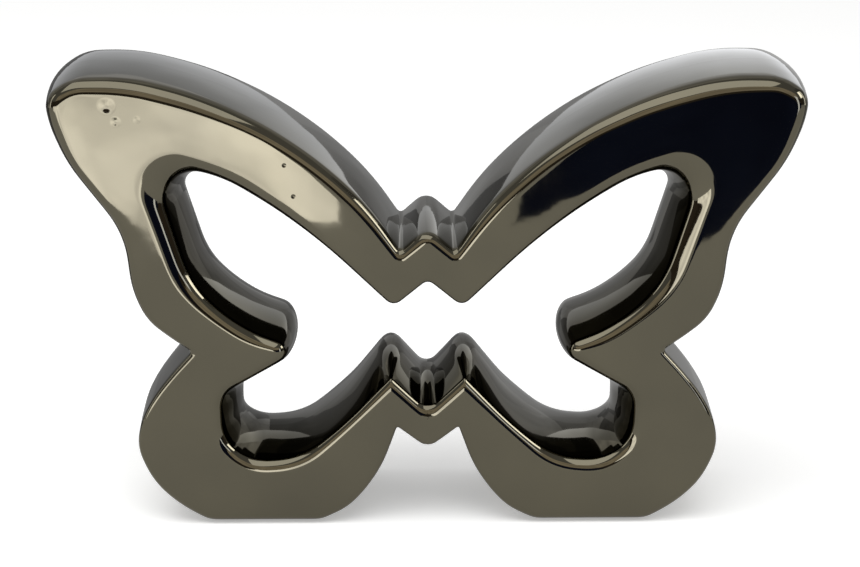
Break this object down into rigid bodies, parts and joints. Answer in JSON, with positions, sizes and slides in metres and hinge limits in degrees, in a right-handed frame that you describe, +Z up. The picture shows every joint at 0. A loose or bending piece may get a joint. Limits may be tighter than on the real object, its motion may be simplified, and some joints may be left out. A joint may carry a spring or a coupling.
{
  "type": "butterfly ornament",
  "caption": "Free-standing butterfly outline ornament in hollow glazed ceramic with a dark mirror-bright metallic lustre, an open middle and flat feet on felt dots.",
  "frame": {"origin": "on the table, under the middle of the ornament", "axes": "+X across the wings to the viewer's right, +Y from the front face to the rear, +Z up"},
  "size_m": [0.265, 0.055, 0.1645],
  "materials": {
    "lustre_glaze": "glazed earthenware under a mirror-bright gunmetal lustre",
    "felt": "pressed wool felt, matt"
  },
  "bodies": {
    "root": {"front_shell": "lustre_glaze", "rear_shell": "lustre_glaze", "outer_seam_slip": "lustre_glaze", "inner_seam_slip": "lustre_glaze", "left_front_felt_dot": "felt", "left_rear_felt_dot": "felt", "right_front_felt_dot": "felt", "right_rear_felt_dot": "felt"}
  },
  "joints": []
}
